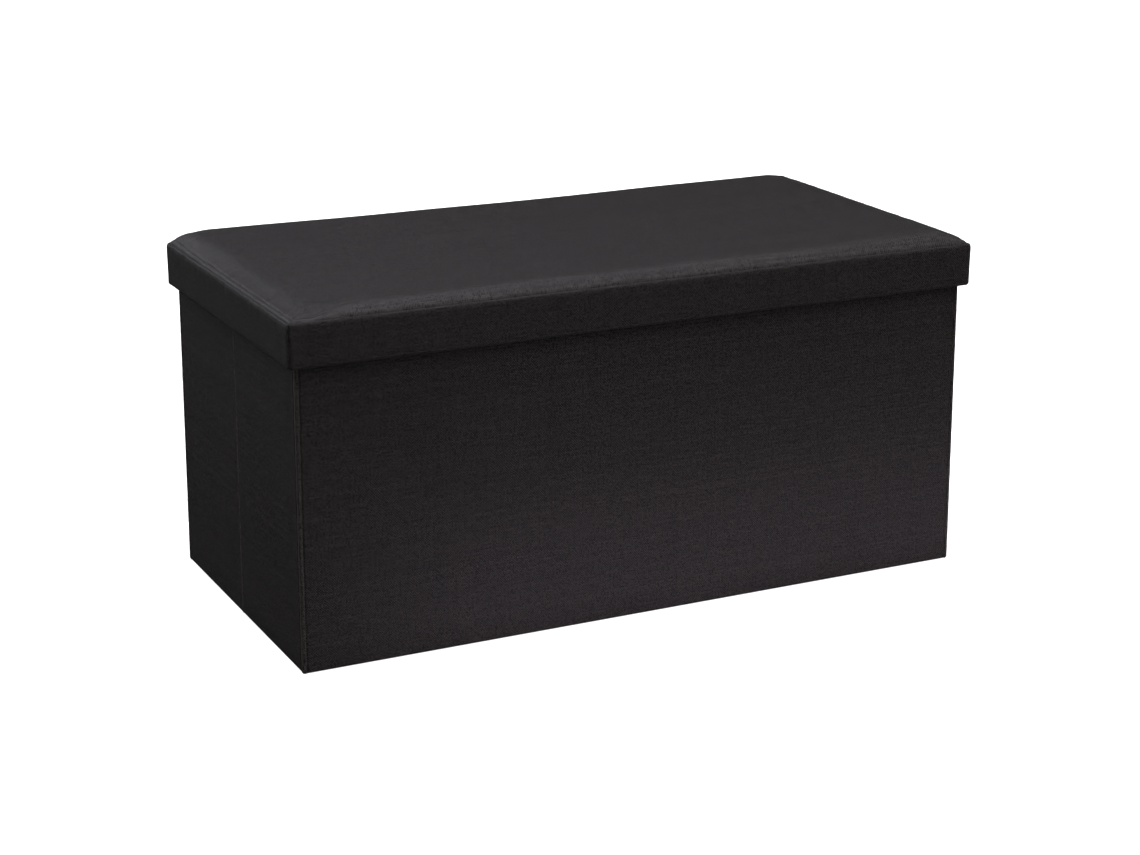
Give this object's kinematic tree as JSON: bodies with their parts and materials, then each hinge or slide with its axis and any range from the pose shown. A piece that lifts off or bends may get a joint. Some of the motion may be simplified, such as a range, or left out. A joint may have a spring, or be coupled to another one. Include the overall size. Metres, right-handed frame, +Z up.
{
  "type": "folding storage ottoman",
  "caption": "Long fabric-covered storage ottoman with a padded lift-off lid, rigid walls, creased short sides that fold inwards and a loose base board.",
  "frame": {"origin": "on the floor under the middle of the object", "axes": "+X along the long side, the front is -Y, +Z up"},
  "size_m": [0.76, 0.378, 0.36],
  "materials": {
    "outer_fabric": "matte",
    "seam_fabric": "matte",
    "nonwoven_lining": "matte",
    "webbing": "matte",
    "fibreboard": "matte",
    "foam": "matte",
    "staple_steel": "satin"
  },
  "bodies": {
    "base": {"base_board": "fibreboard", "base_wrap": "nonwoven_lining", "base_pull_tab": "webbing"},
    "back_wall": {"back_wall_cover": "outer_fabric", "back_wall_board": "fibreboard", "back_wall_lining": "nonwoven_lining", "back_left_corner_seam": "seam_fabric", "back_right_corner_seam": "seam_fabric"},
    "left_rear_half": {"left_rear_half_cover": "outer_fabric", "left_rear_half_board": "fibreboard", "left_rear_half_lining": "nonwoven_lining"},
    "left_front_half": {"left_front_half_cover": "outer_fabric", "left_front_half_board": "fibreboard", "left_front_half_lining": "nonwoven_lining"},
    "front_wall": {"front_wall_cover": "outer_fabric", "front_wall_board": "fibreboard", "front_wall_lining": "nonwoven_lining", "front_left_corner_seam": "seam_fabric", "front_right_corner_seam": "seam_fabric"},
    "right_rear_half": {"right_rear_half_cover": "outer_fabric", "right_rear_half_board": "fibreboard", "right_rear_half_lining": "nonwoven_lining"},
    "right_front_half": {"right_front_half_cover": "outer_fabric", "right_front_half_board": "fibreboard", "right_front_half_lining": "nonwoven_lining"},
    "lid": {"lid_board": "fibreboard", "lid_foam": "foam", "lid_top_cover": "outer_fabric", "lid_front_skirt_board": "fibreboard", "lid_front_skirt_cover": "outer_fabric", "lid_back_skirt_board": "fibreboard", "lid_back_skirt_cover": "outer_fabric", "lid_left_skirt_board": "fibreboard", "lid_left_skirt_cover": "outer_fabric", "lid_right_skirt_board": "fibreboard", "lid_right_skirt_cover": "outer_fabric", "lid_lining": "nonwoven_lining", "lid_staples": "staple_steel"}
  },
  "joints": [
    {"name": "shell_lift", "type": "slide", "parent": "base", "child": "back_wall", "axis": [0, 0, 1], "range_m": [0, 0.34]},
    {"name": "left_rear_corner", "type": "hinge", "parent": "back_wall", "child": "left_rear_half", "pos_m": [-0.365, 0.174, 0.1615], "axis": [0, 0, 1], "range_deg": [0, 88]},
    {"name": "left_crease", "type": "hinge", "parent": "left_rear_half", "child": "left_front_half", "pos_m": [-0.371, 0, 0.1615], "axis": [0, 0, 1], "range_deg": [-176, 0]},
    {"name": "left_front_corner", "type": "hinge", "parent": "left_front_half", "child": "front_wall", "pos_m": [-0.365, -0.174, 0.1615], "axis": [0, 0, 1], "range_deg": [0, 88]},
    {"name": "right_front_corner", "type": "hinge", "parent": "front_wall", "child": "right_front_half", "pos_m": [0.365, -0.174, 0.1615], "axis": [0, 0, 1], "range_deg": [0, 88]},
    {"name": "right_crease", "type": "hinge", "parent": "right_front_half", "child": "right_rear_half", "pos_m": [0.371, 0, 0.1615], "axis": [0, 0, 1], "range_deg": [-176, 0]},
    {"name": "lid_lift", "type": "slide", "parent": "back_wall", "child": "lid", "axis": [0, 0, 1], "range_m": [0, 0.4]}
  ],
  "couplings": [
    {"joint": "left_rear_corner", "follows": "shell_lift", "rad_per_m": 4.5173},
    {"joint": "left_crease", "follows": "shell_lift", "rad_per_m": -9.0346},
    {"joint": "left_front_corner", "follows": "shell_lift", "rad_per_m": 4.5173},
    {"joint": "right_front_corner", "follows": "shell_lift", "rad_per_m": 4.5173},
    {"joint": "right_crease", "follows": "shell_lift", "rad_per_m": -9.0346}
  ]
}
